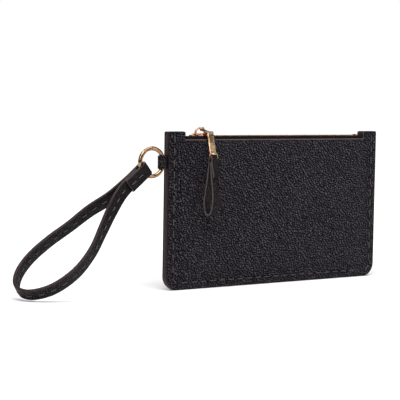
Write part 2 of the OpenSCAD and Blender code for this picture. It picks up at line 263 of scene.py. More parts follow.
class Nodes:
    """A material's node tree with short ways to add and join nodes."""

    def __init__(self, name):
        self.material = bpy.data.materials.new(name)
        self.material.use_nodes = True
        self.tree = self.material.node_tree
        self.surface = self.tree.nodes["Principled BSDF"]
        self.place = self.add("ShaderNodeTexCoord").outputs["Object"]

    def add(self, kind, inputs=None, **settings):
        node = self.tree.nodes.new(kind)
        for key, value in settings.items():
            setattr(node, key, value)
        for key, value in (inputs or {}).items():
            if isinstance(value, bpy.types.NodeSocket):
                self.tree.links.new(value, node.inputs[key])
            else:
                node.inputs[key].default_value = value
        return node

    def set(self, **values):
        for key, value in values.items():
            socket = self.surface.inputs[key.replace("_", " ")]
            if isinstance(value, bpy.types.NodeSocket):
                self.tree.links.new(value, socket)
            else:
                socket.default_value = value

    def noise(self, size_mm, detail=2.0, rough=0.5):
        return self.add("ShaderNodeTexNoise", {
            "Vector": self.place, "Scale": 1 / (size_mm * MM), "Detail": detail,
            "Roughness": rough}).outputs["Fac"]

    def cells(self, size_mm, place, feature="F1"):
        """Flat cells: their distance to the edge, or a tone of each cell's own."""
        return self.add("ShaderNodeTexVoronoi", {"Vector": place, "Scale": 1 / (size_mm * MM)},
                        feature=feature, voronoi_dimensions="2D")

    def math(self, operation, a, b=0.0):
        return self.add("ShaderNodeMath", {0: a, 1: b}, operation=operation).outputs[0]

    def remap(self, value, from_low, from_high, to_low=0.0, to_high=1.0):
        return self.add("ShaderNodeMapRange", {
            "Value": value, "From Min": from_low, "From Max": from_high, "To Min": to_low,
            "To Max": to_high}, interpolation_type="SMOOTHSTEP").outputs["Result"]

    def mix(self, factor, a, b):
        node = self.add("ShaderNodeMix", {0: factor}, data_type="RGBA")
        for index, value in ((6, a), (7, b)):
            if isinstance(value, bpy.types.NodeSocket):
                self.tree.links.new(value, node.inputs[index])
            else:
                node.inputs[index].default_value = (*value, 1)
        return node.outputs[2]

    def warped(self, size_mm, amount_mm):
        """The place, pushed about by noise, so that cells lose their straight sides."""
        cloud = self.add("ShaderNodeTexNoise", {
            "Vector": self.place, "Scale": 1 / (size_mm * MM), "Detail": 2.0}).outputs["Color"]
        centred = self.add("ShaderNodeVectorMath", {0: cloud, 1: (0.5, 0.5, 0.5)}, operation="SUBTRACT")
        scaled = self.add("ShaderNodeVectorMath", {0: centred.outputs[0], "Scale": amount_mm * MM},
                          operation="SCALE")
        return self.add("ShaderNodeVectorMath", {0: self.place, 1: scaled.outputs[0]},
                        operation="ADD").outputs[0]

    def bump(self, height, depth_mm):
        return self.add("ShaderNodeBump", {
            "Height": height, "Distance": depth_mm * MM, "Strength": 1.0}).outputs[0]


def leather_material(name, low, high, cell, depth, roughness):
    """Pebbled leather: rounded grains of about the cell size, each of its own tone, with painted shade in the
    creases and a painted highlight on the grain tops.
    """
    grain_lean = math.radians(38)
    grain_stretch = (1.4, 0.8, 1)
    n = Nodes(name)
    upright = n.add("ShaderNodeMapping", {
        "Vector": n.warped(2.4 * cell, 1.1 * cell), "Rotation": (-math.pi / 2, 0, 0)}).outputs[0]
    place = n.add("ShaderNodeMapping", {
        "Vector": upright, "Rotation": (0, 0, grain_lean), "Scale": grain_stretch},
        vector_type="TEXTURE").outputs[0]
    grains = n.cells(cell, place, "DISTANCE_TO_EDGE").outputs["Distance"]
    small = n.cells(0.45 * cell, place, "DISTANCE_TO_EDGE").outputs["Distance"]
    own = n.cells(cell, place).outputs["Color"]
    raised = n.remap(grains, 0.0, 0.38)
    fine = n.remap(small, 0.0, 0.3)
    height = n.math("ADD", n.math("MULTIPLY", raised, 0.9), n.math("MULTIPLY", fine, 0.1))
    # The grain's height sets the colour: low is painted shade in the creases, high a painted highlight on the
    # grain tops.
    lit = n.math("MULTIPLY", n.math("POWER", height, 1.7), n.remap(own, 0.2, 0.8, 0.72, 1.0))
    tone = n.mix(lit, low, high)
    # shade is a broad noise cloud of painted light and shade over the face.
    shade = n.mix(n.remap(n.noise(30, 1), 0.3, 0.7), (0.88, 0.88, 0.9), (1.08, 1.08, 1.07))
    colour = n.add("ShaderNodeMix", {0: 1.0, 6: tone, 7: shade}, data_type="RGBA", blend_type="MULTIPLY")
    n.set(Base_Color=colour.outputs[2])
    n.set(Roughness=n.remap(height, 0.0, 1.0, roughness + 0.16, roughness))
    n.set(Specular_IOR_Level=n.remap(lit, 0.0, 0.8, 0.03, 0.42))
    n.set(Normal=n.bump(height, depth))
    return n.material


def paint_material(name, colour, dark):
    """Burnished edge paint: even colour with a faint fine texture and worn spots."""
    n = Nodes(name)
    worn = n.remap(n.noise(3.2, 4, 0.6), 0.42, 0.72)
    n.set(Base_Color=n.mix(worn, colour, dark))
    n.set(Roughness=n.remap(n.noise(1.1, 3), 0.3, 0.7, 0.28, 0.44))
    n.set(Normal=n.bump(n.noise(0.7, 3), 0.05))
    n.set(Specular_IOR_Level=0.12)
    return n.material


def metal_material(name, colour, tarnish, roughness):
    """Plated metal with a little tarnish in patches and very fine scratches."""
    n = Nodes(name)
    patches = n.remap(n.noise(2.4, 4, 0.6), 0.45, 0.75)
    n.set(Base_Color=n.mix(patches, colour, tarnish), Metallic=1.0)
    n.set(Roughness=n.remap(n.noise(0.9, 3), 0.3, 0.7, roughness - 0.05, roughness + 0.09))
    n.set(Normal=n.bump(n.noise(0.35, 2), 0.012))
    return n.material


def cloth_material(name, dark, light, pitch, depth, sheen):
    """Fine plain weave, drawn by two crossed waves."""
    n = Nodes(name)
    waves = [n.add("ShaderNodeTexWave", {"Vector": n.place, "Scale": 0.314 / (pitch * MM),
                                         "Distortion": 0.6, "Detail": 1.0},
                   bands_direction=axis).outputs["Fac"] for axis in ("X", "Z")]
    weave = n.math("MULTIPLY", waves[0], waves[1])
    blotch = n.remap(n.noise(9, 3), 0.3, 0.7, 0.0, 0.5)
    n.set(Base_Color=n.mix(n.math("MAXIMUM", weave, blotch), dark, light))
    n.set(Roughness=n.remap(weave, 0.0, 1.0, 0.95, 0.75))
    n.set(Normal=n.bump(weave, depth))
    n.set(Sheen_Weight=sheen, Sheen_Roughness=0.4, Specular_IOR_Level=0.12)
    return n.material


def thread_material(name, dark, light):
    """Waxed thread with fine fibres."""
    n = Nodes(name)
    fibres = n.noise(0.25, 3, 0.6)
    n.set(Base_Color=n.mix(n.remap(fibres, 0.35, 0.7), dark, light))
    n.set(Roughness=n.remap(fibres, 0.3, 0.7, 0.55, 0.38))
    n.set(Normal=n.bump(fibres, 0.06))
    return n.material


def floor_material():
    """Matt white backdrop with a very faint cloud in it."""
    n = Nodes("studio_floor")
    cloud = n.remap(n.noise(60, 3), 0.3, 0.7)
    n.set(Base_Color=n.mix(cloud, (0.9, 0.89, 0.895), (0.93, 0.92, 0.925)))
    n.set(Roughness=1.0, Specular_IOR_Level=0.0)
    return n.material


# For each leather, low is the painted shade in its creases and high the painted highlight on its grain tops.
BLACK = leather_material("black_pebbled_leather", (0.0008, 0.0006, 0.001), (0.056, 0.048, 0.064),
                         cell=1.7, depth=1.1, roughness=0.36)
STRAP = leather_material("strap_leather", (0.004, 0.003, 0.0032), (0.014, 0.0102, 0.0108),
                         cell=1.1, depth=0.12, roughness=0.45)
SMOOTH = leather_material("smooth_black_leather", (0.003, 0.0022, 0.0025), (0.026, 0.018, 0.021),
                          cell=1.6, depth=0.15, roughness=0.4)
EDGE = paint_material("brown_edge_paint", (0.03, 0.0172, 0.0172), (0.015, 0.0088, 0.0092))
# Dark edge paint: the panels' and tab's own edge colour, and painted shade on the pull loop's right edges.
EDGE_DARK_AND_PAINTED_SHADE = paint_material("dark_edge_paint_and_painted_shade", (0.01, 0.006, 0.0065), (0.005, 0.0035, 0.004))
# A lighter copy of the edge paint, used as painted highlight on edges turned to the light.
EDGE_PAINTED_HIGHLIGHT = paint_material("edge_paint_with_painted_highlight", (0.086, 0.068, 0.07), (0.05, 0.039, 0.04))
LINING_CLOTH = cloth_material("lining_cloth", (0.10, 0.065, 0.045), (0.2, 0.14, 0.1), 0.5, 0.05, 0.3)
TAPE = cloth_material("zip_tape_cloth", (0.003, 0.0018, 0.0016), (0.014, 0.008, 0.007), 0.7, 0.12, 0.0)
THREAD = thread_material("black_thread", (0.02, 0.017, 0.018), (0.08, 0.07, 0.072))
STRAP_THREAD = thread_material("charcoal_thread", (0.02, 0.018, 0.019), (0.065, 0.058, 0.06))
BRASS = metal_material("dark_antique_brass", (0.45, 0.28, 0.14), (0.12, 0.07, 0.036), 0.3)
ROSE = metal_material("rose_gold", (0.8, 0.4, 0.24), (0.45, 0.2, 0.11), 0.2)
GOLD = metal_material("light_gold", (0.5, 0.33, 0.2), (0.16, 0.095, 0.05), 0.18)
RING_GOLD = metal_material("ring_gold", (0.38, 0.225, 0.125), (0.08, 0.042, 0.022), 0.13)
# A darker copy of the gold: painted shade for the dark reflection on the pull's face and neck.
GOLD_PAINTED_SHADE = metal_material("shaded_gold", (0.2, 0.135, 0.085), (0.08, 0.05, 0.032), 0.24)


# ---------------------------------------------------------------- pouch

def bulge(x, z):
    """How far a face stands beyond its flat sewn border."""
    u = max(0.0, min(1.0, (HALF_W - BORDER - abs(x)) / SWELL_SIDE))
    v = max(0.0, min(1.0, (z - BORDER) / SWELL_FOOT))
    ripple = 0.12 * noise.noise(Vector((x / 38, z / 30, 3.7)))
    return (CROWN + ripple) * (1 - (1 - u) ** 2) * (1 - (1 - v) ** 2)


def inner_y(x, z):
    """Distance of the leather's inner face from the middle plane."""
    return HALF_EDGE + bulge(x, z) - LEATHER


def pouch_seam():
    """Centre, and angle from the X axis, of each running stitch on a face."""
    side = HALF_W - STITCH_INSET
    low = CORNER_R + 5
    out = []
    for end in (-1, 1):
        for k in range(int((POUCH_H - 6 - low) / STITCH_PITCH) + 1):
            out.append((end * side, low + k * STITCH_PITCH, 90))
        reach = (CORNER_R - STITCH_INSET) * math.sqrt(0.5)
        out.append((end * (HALF_W - CORNER_R + reach), CORNER_R - reach, end * 45))
    first = -(HALF_W - CORNER_R - 6)
    for k in range(int((-2 * first + 2) / STITCH_PITCH) + 1):
        out.append((first + k * STITCH_PITCH, STITCH_INSET, 0))
    return out


SEAM = pouch_seam()


def seam_groove(x, z):
    """Depth of the dent that the stitches pull into the leather."""
    from_side = HALF_W - abs(x)
    if min(from_side, z) > STITCH_INSET + 3:
        return 0.0
    depth = 0.0
    for cx, cz, angle in SEAM:
        dx, dz = x - cx, z - cz
        if abs(dx) > 5 or abs(dz) > 5:
            continue
        c, s = math.cos(math.radians(angle)), math.sin(math.radians(angle))
        along, off = abs(dx * c + dz * s), dx * s - dz * c
        bed = 0.34 * math.exp(-(off / 0.8) ** 2) * ease((STITCH_LEN / 2 + 0.7 - along) / 0.8)
        hole = 0.95 * math.exp(-((along - STITCH_LEN / 2 - 0.3) ** 2 + off ** 2) / 0.7)
        depth += bed + hole
    return depth


def columns():
    """X stations across the pouch, close together in the two corner zones and beside the notch."""
    flat = HALF_W - CORNER_R
    arc_steps = 26
    notch_side = HALF_NOTCH + RIM
    count = round(notch_side / GRID_STEP)
    half = [notch_side * k / count for k in range(count + 1)]
    half += [notch_side + (flat - notch_side) * k / 4 for k in range(1, 5)]
    r = CORNER_R - RIM
    half += [flat + r * math.sin(math.pi / 2 * k / arc_steps) for k in range(1, arc_steps + 1)]
    return [-x for x in half[:0:-1]] + half


def bottom_z(x, inset):
    """Height of the outline's lower edge at x, for an outline drawn in by inset."""
    over = abs(x) - (HALF_W - CORNER_R)
    r = CORNER_R - inset
    if over <= 0:
        return inset
    return CORNER_R - math.sqrt(max(0.0, r * r - over * over))


def rows():
    """Z stations as shares of the height under the notch, close together over the border."""
    top = NOTCH_Z - RIM
    fine = GRID_STEP / 2
    border = [RIM + fine * k for k in range(int((BORDER - RIM) / fine) + 1)]
    count = round((top - BORDER) / GRID_STEP)
    body = [BORDER + (top - BORDER) * k / count for k in range(1, count + 1)]
    return border + body


def rim_of(faces):
    """The boundary of a patch of faces, as one loop of point numbers in the faces' own direction."""
    used = {(a, b) for f in faces for a, b in zip(f, f[1:] + f[:1])}
    edges = {a: b for a, b in used if (b, a) not in used}
    start = min(edges)
    loop = [start]
    while edges[loop[-1]] != start:
        loop.append(edges[loop[-1]])
    return loop


def panel_patch():
    """Points (x, z) and faces of the outline, drawn in by the rim."""
    xs, zs = columns(), rows()
    top = zs[-1]
    ear_rows = [top + (POUCH_H - RIM - top) * k / 6 for k in range(1, 7)]
    points, index = [], {}
    for i, x in enumerate(xs):
        low = bottom_z(x, RIM)
        for k, z in enumerate(zs):
            share = (z - RIM) / (top - RIM)
            index[i, k] = len(points)
            points.append((x, low + share * (top - low)))
        if abs(x) >= HALF_NOTCH + RIM - 1e-6:
            for j, z in enumerate(ear_rows):
                index[i, len(zs) + j] = len(points)
                points.append((x, z))
    faces = []
    for i in range(len(xs) - 1):
        for k in range(len(zs) + len(ear_rows) - 1):
            corners = [(i, k), (i + 1, k), (i + 1, k + 1), (i, k + 1)]
            if all(c in index for c in corners):
                faces.append([index[c] for c in corners])
    return points, faces


def rim_normals(points, loop):
    """Outward direction at each point of the rim, longer in the two inside corners of the notch."""
    out = []
    n = len(loop)
    for k in range(n):
        a, b, c = (Vector(points[loop[(k + j) % n]]) for j in (-1, 0, 1))
        first = (b - a).normalized()
        second = (c - b).normalized()
        one = Vector((first.y, -first.x))
        two = Vector((second.y, -second.x))
        normal = (one + two).normalized()
        inside = first.x * second.y - first.y * second.x < -0.3
        out.append(normal / max(0.5, normal.dot(one)) if inside else normal)
    return out


def pouch_panel(name, node, front):
    """One leather panel: a swelling face with a sewn border, rounded edges and a flat back."""
    grain, paint, light, back_side = range(4)
    patch, faces = panel_patch()
    loop = rim_of(faces)
    outward = rim_normals(patch, loop)
    shape = Shape()
    outer = [Vector((x, -(HALF_EDGE + bulge(x, z)) + seam_groove(x, z), z)) for x, z in patch]
    # The notch's top edge and the ears' inner edges take the lighter edge paint: partly the paint's colour,
    # partly a painted highlight where the edge catches the light from above.
    paint_from = NOTCH_Z - 1.0
    marks = []
    for f in faces:
        z = sum(patch[i][1] for i in f) / 4
        x = sum(patch[i][0] for i in f) / 4
        on_notch = z > paint_from and abs(x) < HALF_NOTCH + RIM
        marks.append(light if on_notch else grain)
    shape.add(outer, faces, marks)
    bends = [math.pi / 8 * j for j in range(1, 5)]
    profile = [(RIM * math.sin(q), RIM * (1 - math.cos(q))) for q in bends]
    profile += [(RIM, LEATHER - 0.15), (RIM - 0.15, LEATHER)]
    previous = loop
    for level, (out, back) in enumerate(profile):
        ring = []
        for at, normal in zip(loop, outward):
            x, z = patch[at]
            px, pz = x + normal.x * out, z + normal.y * out
            ring.append(Vector((px, -(HALF_EDGE + bulge(x, z)) + back, pz)))
        start = len(shape.points)
        n = len(loop)
        quads = []
        kinds = []
        for k in range(n):
            m = (k + 1) % n
            x, z = patch[loop[k]]
            on_notch = abs(x) < HALF_NOTCH + RIM + 0.1 and z > NOTCH_Z - RIM - 0.1
            upright = on_notch and z > NOTCH_Z - RIM + 0.2
            quads.append([previous[k], start + k, start + m, previous[m]])
            # Notch and ear edges: the lighter edge paint, partly painted highlight.
            if on_notch and (level > 2 or not upright):
                kinds.append(light)
            else:
                kinds.append(grain if level < 1 or upright else paint)
        shape.points += ring
        shape.faces += [q[::-1] for q in quads]
        shape.marks += kinds
        previous = [start + k for k in range(n)]
    inner_start = len(shape.points)
    shape.add([(x, -inner_y(x, z), z) for x, z in patch], [f[::-1] for f in faces], back_side)
    for k in range(len(loop)):
        m = (k + 1) % len(loop)
        shape.faces.append([previous[m], inner_start + loop[m], inner_start + loop[k], previous[k]])
        shape.marks.append(back_side)
    if not front:
        shape.mirrored()
    piece(name, shape, [BLACK, EDGE_DARK_AND_PAINTED_SHADE, EDGE_PAINTED_HIGHLIGHT, SMOOTH], "pouch", [node])


def pouch_stitching(name, node, front):
    shape = Shape()
    for cx, cz, angle in SEAM:
        c, s = math.cos(math.radians(angle)), math.sin(math.radians(angle))
        path = []
        for k in range(15):
            u = -1 + 2 * k / 14
            height = 0.34 - sunk_end(u, 1.15, 0.72)
            along = u * STITCH_LEN / 2
            x, z = cx + along * c, cz + along * s
            path.append((x, -(HALF_EDGE + bulge(x, z)) + 0.28 - height, z))
        thread(shape, path, THREAD_R)
    if not front:
        shape.mirrored()
    piece(name, shape, [THREAD], "pouch", [node])


def outline_loop(inset):
    """The pouch's outline from the left ear's inner top corner, down, along and up to the right ear's."""
    steps = 14
    half, r = HALF_W - inset, CORNER_R - inset
    top_r = 1.0
    points = [(-HALF_NOTCH - inset, NOTCH_Z - 2)]
    points += [(-HALF_NOTCH - inset, NOTCH_Z + (POUCH_H - inset - NOTCH_Z) * k / 4) for k in range(5)]
    points.append((-(HALF_NOTCH + half) / 2, POUCH_H - inset))
    points += [(-half + top_r - top_r * math.sin(math.radians(a)),
                POUCH_H - inset - top_r + top_r * math.cos(math.radians(a))) for a in (0, 30, 60, 90)]
    side = int((POUCH_H - CORNER_R - 2) / 2)
    points += [(-half, POUCH_H - inset - top_r - (POUCH_H - inset - top_r - CORNER_R) * k / side)
               for k in range(1, side)]
    points += [(-HALF_W + CORNER_R - r * math.cos(math.pi / 2 * k / steps),
                CORNER_R - r * math.sin(math.pi / 2 * k / steps)) for k in range(steps + 1)]
    flat = HALF_W - CORNER_R
    points += [(-flat + 2 * flat * k / 90, inset) for k in range(1, 46)]
    return points + [(-x, z) for x, z in points[-2::-1]]


def edge_welt():
    """The painted welt between the two panels: a band round the outline with a softly domed edge."""
    section = [(9.0, -1), (0.55, -1), (0.2, -0.93), (0.02, -0.55), (-0.06, 0), (0.02, 0.55), (0.2, 0.93),
               (0.55, 1), (9.0, 1)]
    rings = []
    loops = [outline_loop(inset) for inset, _ in section]
    for i in range(len(loops[0])):
        ring = []
        for (inset, side), loop in zip(section, loops):
            x, z = loop[i]
            face = inner_y(x, z) if inset > 0.5 else inner_y(loops[1][i][0], loops[1][i][1])
            ring.append(Vector((x, side * (face - 0.02), z)))
        rings.append(ring)
    shape = Shape()
    loft(shape, rings)
    piece("welt", shape, [EDGE], "pouch", ["edge_welt"])


def lining_sheet(name, node, front):
    """Cloth lining that follows the leather's inner face, hemmed under the zip tape."""
    shape = Shape()
    nx, nz = 84, 44
    half = HALF_W - BORDER + 3
    low, high = BORDER - 3, HEM_Z
    grids = []
    for depth in (0.03, LINING):
        grid = []
        for k in range(nz + 1):
            for i in range(nx + 1):
                x = -half + 2 * half * i / nx
                z = low + (high - low) * k / nz
                sag = 0.12 * ease((high - z) / 20) * (1 + noise.noise(Vector((x / 17, z / 23, depth))))
                sag *= ease((HALF_W - BORDER - abs(x)) / 10) * ease((z - BORDER) / 10)
                grid.append(Vector((x, -(inner_y(x, z) - depth - sag), z)))
        grids.append(grid)
    row = nx + 1
    quads = [[k * row + i, k * row + i + 1, (k + 1) * row + i + 1, (k + 1) * row + i]
             for k in range(nz) for i in range(nx)]
    shape.add(grids[0], quads)
    shape.add(grids[1], [q[::-1] for q in quads])
    rim = rim_of(quads)
    base = len(grids[0])
    for a, b in zip(rim, rim[1:] + rim[:1]):
        shape.faces.append([b, a, base + a, base + b])
        shape.marks.append(0)
    if not front:
        shape.mirrored()
    cloth = piece(name, shape, [LINING_CLOTH], "pouch", [node])


def card_pocket():
    """Two stepped card slots on the rear lining, each with a turned top edge."""
    low, high = span("card_pocket")
    shape = Shape()
    layer = 0.42
    top_step = 14
    for k in range(2):
        top = high.z - top_step * k
        y_back = high.y - 0.1 - layer * k
        section = [(0, low.z), (0, top - 1.4), (-0.22, top - 1.2), (-0.26, top - 0.3), (-0.1, top),
                   (layer - 0.1, top), (layer, top - 0.4), (layer, low.z)]
        rings = []
        for i in range(31):
            x = low.x + (high.x - low.x) * i / 30
            slack = 0.18 * (1 - (2 * i / 30 - 1) ** 4)
            rings.append([Vector((x, y_back - layer + y - slack * ease((z - low.z) / 30), z))
                          for y, z in section])
        loft(shape, rings)
    piece("card_slots", shape, [LINING_CLOTH], "pouch", ["card_pocket"], sharp=40)


# ---------------------------------------------------------------- zip

def folded_tape(shape, profile, x_from, x_to, steps, front=True):
    """A tape of even thickness along X. profile gives (distance from the middle, z) of its outer side."""
    points = [Vector((0, -d, z)) for d, z in profile]
    inner = [p + Vector((0, t.z, -t.y)) * TAPE_T for p, t in zip(points, tangents_along(points))]
    section = points + inner[::-1]
    rings = []
    for k in range(steps + 1):
        x = x_from + (x_to - x_from) * k / steps
        shift = inner_y(0, NOTCH_Z) - inner_y(x, NOTCH_Z)
        rings.append([Vector((x, p.y + min(shift, 1.1) * ease(1 - p.y), p.z))
                      for p in section])
    part = Shape()
    loft(part, rings)
    if not front:
        part.mirrored()
    shape.add(part.points, part.faces)


WALL = inner_y(0, NOTCH_Z) - 0.02
LIP_PROFILE = [(WALL, LIP_Z - 0.4), (WALL, TAPE_TOP - 1.0), (WALL - 0.12, TAPE_TOP - 0.45),
               (WALL - 0.45, TAPE_TOP - 0.12), (WALL - 0.9, TAPE_TOP - 0.02), (2.0, TAPE_TOP)]
SEWN_PROFILE = [(WALL, HEM_Z - 1.5), (WALL, HEM_Z + 4), (WALL, LIP_Z - 0.45)]


def zip_tape(name, node, front):
    """The sewn part of a tape and its two fixed ends, which go into the ears."""
    shape = Shape()
    folded_tape(shape, SEWN_PROFILE, -HALF_NOTCH - 1, HALF_NOTCH + 1, 90, front)
    for x_from, x_to in ((-HALF_NOTCH - 1, LIP_LEFT - 0.15), (LIP_RIGHT + 0.15, HALF_NOTCH + 1)):
        folded_tape(shape, LIP_PROFILE, x_from, x_to, 14, front)
    piece(name, shape, [TAPE], "pouch", [node], sharp=50)


LIP_MIDDLE = (LIP_LEFT + LIP_RIGHT) / 2
LIP_ENDS = (("left", LIP_LEFT), ("right", LIP_RIGHT))


def zip_lip(front):
    """The free part of a tape, in two halves, both lying straight along the closed mouth."""
    side = "front" if front else "rear"
    for end, x_from in LIP_ENDS:
        shape = Shape()
        low, high = sorted((x_from, LIP_MIDDLE))
        folded_tape(shape, LIP_PROFILE, low, high, 44, front)
        lip = piece(f"zip_lip_{side}_{end}", shape, [TAPE], None,
                    [f"zip_lip_{side}"] if end == "left" else (), sharp=50)
        bend_mouth(lip)


def bend_mouth(obj):
    """Bakes a piece's placement into its mesh; the piece is not bent."""
    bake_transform(obj)


TOOTH_PITCH = 2.2
TOOTH_LEN = 1.12


def tooth(shape, x, front, locking):
    """One cast tooth: a clamp on the tape's edge and a head that meets the other row."""
    z = TAPE_TOP - 0.25
    stations = [(2.75, 0.55, 0.6), (2.6, 0.8, 0.95), (2.25, 0.95, 1.2), (1.4, 0.95, 1.4),
                (1.05, 0.86, 1.85), (0.65, 0.8, 1.85), (0.4, 0.72, 1.4)]
    stations += [(-0.15, 0.85, 1.1), (-0.4, 0.6, 0.7)] if locking else [(0.3, 0.6, 1.1)]
    rings = [[Vector((x + u, -y, z + v)) for u, v in oval(width * TOOTH_LEN / 2, height / 2, 12, 0.8)]
             for y, width, height in stations]
    part = Shape()
    loft(part, rings)
    if not front:
        part.mirrored()
    shape.add(part.points, part.faces)


def tooth_centres(low, high, shift):
    first = low + 0.75 + shift
    count = int((high - first - TOOTH_LEN / 2) / TOOTH_PITCH) + 1
    return [first + k * TOOTH_PITCH for k in range(count)]


def zip_teeth(front):
    side = "front" if front else "rear"
    centres = tooth_centres(LIP_LEFT, LIP_RIGHT, 0 if front else TOOTH_PITCH / 2)
    for end, x_from in LIP_ENDS:
        low, high = sorted((x_from, LIP_MIDDLE))
        shape = Shape()
        for x in centres:
            if low <= x < high:
                tooth(shape, x, front, True)
        row = piece(f"zip_teeth_{side}_{end}", shape, [BRASS], None,
                    [f"zip_teeth_{side}"] if end == "left" else ())
        bend_mouth(row)


def end_teeth():
    shape = Shape()
    low, high = span("zip_end_teeth")
    for front in (True, False):
        shift = 0 if front else TOOTH_PITCH / 2
        for x in tooth_centres(low.x, LIP_LEFT, shift - 0.2) + tooth_centres(LIP_RIGHT, high.x, shift):
            tooth(shape, x, front, False)
    piece("end_teeth", shape, [BRASS], "pouch", ["zip_end_teeth"])


def zip_stops():
    low, high = span("zip_top_stops")
    shape = Shape()
    for turn in (-1, 1):
        y = sorted((turn * 0.4, turn * 2.7))
        add_box(shape, (low.x, y[0], low.z - 0.1), (high.x, y[1], high.z + 0.1), 0.5)
    piece("top_stops", shape, [BRASS], "pouch", ["zip_top_stops"])
    low, high = span("zip_bottom_stop")
    shape = Shape()
    add_box(shape, (low.x, low.y - 0.3, low.z - 0.1), (high.x, high.y + 0.3, high.z + 0.35), 0.7)
    piece("bottom_stop", shape, [GOLD], "pouch", ["zip_bottom_stop"])


def slider():
    """Slider body: a shield-shaped top plate with turned-down sides, a floor plate and a post."""
    low, high = span("slider_body")
    shape = Shape()
    half = high.y
    top = high.z

    def shield(p):
        share = (p.x - low.x) / (high.x - low.x)
        return Vector((p.x, p.y * (0.86 + 0.14 * ease(1 - abs(share - 0.45) * 1.6)), p.z))
    add_box(shape, (low.x, -half, top - 0.95), (high.x, half, top + 0.1), 0.45, steps=4, change=shield)
    for turn in (-1, 1):
        y = sorted((turn * (half - 0.75), turn * half))
        add_box(shape, (low.x + 1.6, y[0], top - 1.7), (high.x - 1.6, y[1], top - 0.4), 0.3)
    add_box(shape, (low.x + 0.3, -2.3, low.z), (high.x - 0.3, 2.3, low.z + 0.85), 0.35, change=shield)
    add_box(shape, (low.x + 0.6, -0.25, low.z + 0.3), (low.x + 3.6, 0.25, top - 0.5), 0.1)
    for x in (low.x + 1.3, high.x - 1.3):
        add_box(shape, (x - 0.9, -1.3, top - 0.1), (x + 0.9, 1.3, top + 0.45), 0.3)
    piece("slider", shape, [ROSE], "slider", ["slider_body"])


def bail():
    """Arched bail: a bridge of flat-sided wire that the pull hangs from."""
    low, high = span("slider_bail")
    half = (high.x - low.x) / 2 - 0.75
    foot = span("slider_body")[1].z - 0.1
    rise = high.z - foot + 0.05
    centre = (low.x + high.x) / 2
    steps = 32
    path = []
    for k in range(steps + 1):
        q = math.pi * k / steps
        path.append((centre - signed_power(math.cos(q), 0.8) * half, 0,
                     foot + abs(math.sin(q)) ** 0.8 * rise))
    shape = Shape()
    tube(shape, path, oval(0.72, 0.78, 16, 0.8))
    piece("bail", shape, [ROSE], "slider", ["slider_bail"])


# ---------------------------------------------------------------- pull

BAIL_Z = span("slider_bail")[1].z - 0.75
EYE_X = SLIDER_X + 2
PULL_X = SLIDER_X + 5.5
KNEE = Vector((PULL_X, -5.3, BAIL_Z - 2.4))
LEAN = math.radians(14)
BAR_DROP = 20.0
BAR = KNEE + Vector((0, -math.sin(LEAN), -math.cos(LEAN))) * BAR_DROP
PLATE_LEN = 17.0
PULL_HALF = 3.0
PULL_T = 2.0


def on_plate(across, out, down):
    """A point on the hanging plate: across along X, out of its front face, and down its length."""
    return KNEE + Vector((across, -math.cos(LEAN) * out - math.sin(LEAN) * down,
                          math.sin(LEAN) * out - math.cos(LEAN) * down))


def pull():
    shape = Shape()
    eye_half = 1.25
    rings = []
    turns = 28
    for k in range(turns):
        q = 2 * math.pi * k / turns
        ring = []
        for a, r in ((-eye_half + 0.3, 1.6), (-eye_half, 1.4), (-eye_half, 1.1), (-eye_half + 0.3, 0.9),
                     (eye_half - 0.3, 0.9), (eye_half, 1.1), (eye_half, 1.4), (eye_half - 0.3, 1.6)):
            ring.append(Vector((EYE_X + a, r * math.cos(q), BAIL_Z + r * math.sin(q))))
        rings.append(ring)
    rings.append(rings[0])
    loft(shape, rings, caps=False)
    neck = [(EYE_X, -1.3, BAIL_Z - 0.4), (EYE_X + 0.1, -2.7, BAIL_Z - 0.9), (EYE_X + 0.8, -4.2, BAIL_Z - 1.5),
            (EYE_X + 1.9, -5.1, BAIL_Z - 2.2), (EYE_X + 2.7, -5.6, BAIL_Z - 3.4)]
    neck_rings = []
    for k, p in enumerate(neck):
        share = ease(k / 4)
        tilt = math.radians(28 + 48 * share)
        neck_rings.append([Vector(p) + Vector((u, -math.sin(tilt) * v, math.cos(tilt) * v))
                           for u, v in oval(1.2 + 1.4 * share, 0.75 + 0.2 * share, 12, 0.6)])
    # The neck takes the darker gold, painted shade.
    loft(shape, neck_rings, 1)
    plate_outline(shape)
    stirrup(shape)
    piece("pull", shape, [GOLD, GOLD_PAINTED_SHADE], "pull", ["pull_tab"], sharp=35)


def plate_outline(shape):
    """The hanging plate: softly waisted, with four ribs and a sunk field on its front."""
    rings = []
    steps = 58
    bevel = 0.35
    for k in range(steps + 1):
        down = -0.9 + (PLATE_LEN + 0.9) * k / steps
        end = min(k, steps - k) / 4
        round_in = 0.5 * (1 - math.sqrt(max(0.0, 1 - (1 - min(end, 1)) ** 2)))
        half = PULL_HALF - round_in - 0.25 * ease(1 - abs(down - 6.5) / 4)
        rib = 0.0
        if 1.2 < down < 6.8:
            rib = -0.5 * (0.5 - 0.5 * math.cos((down - 1.2) / 1.4 * 2 * math.pi))
        field = -0.28 * ease((down - 7.4) / 0.5) * ease((15.4 - down) / 0.5)
        front = PULL_T / 2 - round_in * 0.8
        sunk = front + rib + field
        inner = half - 0.85
        outline = [(-half, bevel - front), (-half, front - bevel), (-half + bevel, front), (-inner, front),
                   (-inner + 0.25, sunk), (0, sunk), (inner - 0.25, sunk), (inner, front),
                   (half - bevel, front), (half, front - bevel), (half, bevel - front),
                   (half - bevel, -front), (-half + bevel, -front)]
        rings.append([on_plate(across, out, down) for across, out in outline[::-1]])
    # The ribs and sunk field on the front take the darker gold, painted shade for the dark reflection the
    # face shows.
    dark = range(3, 9)
    loft(shape, rings, side_mark=lambda _, k: 1 if k in dark else 0)


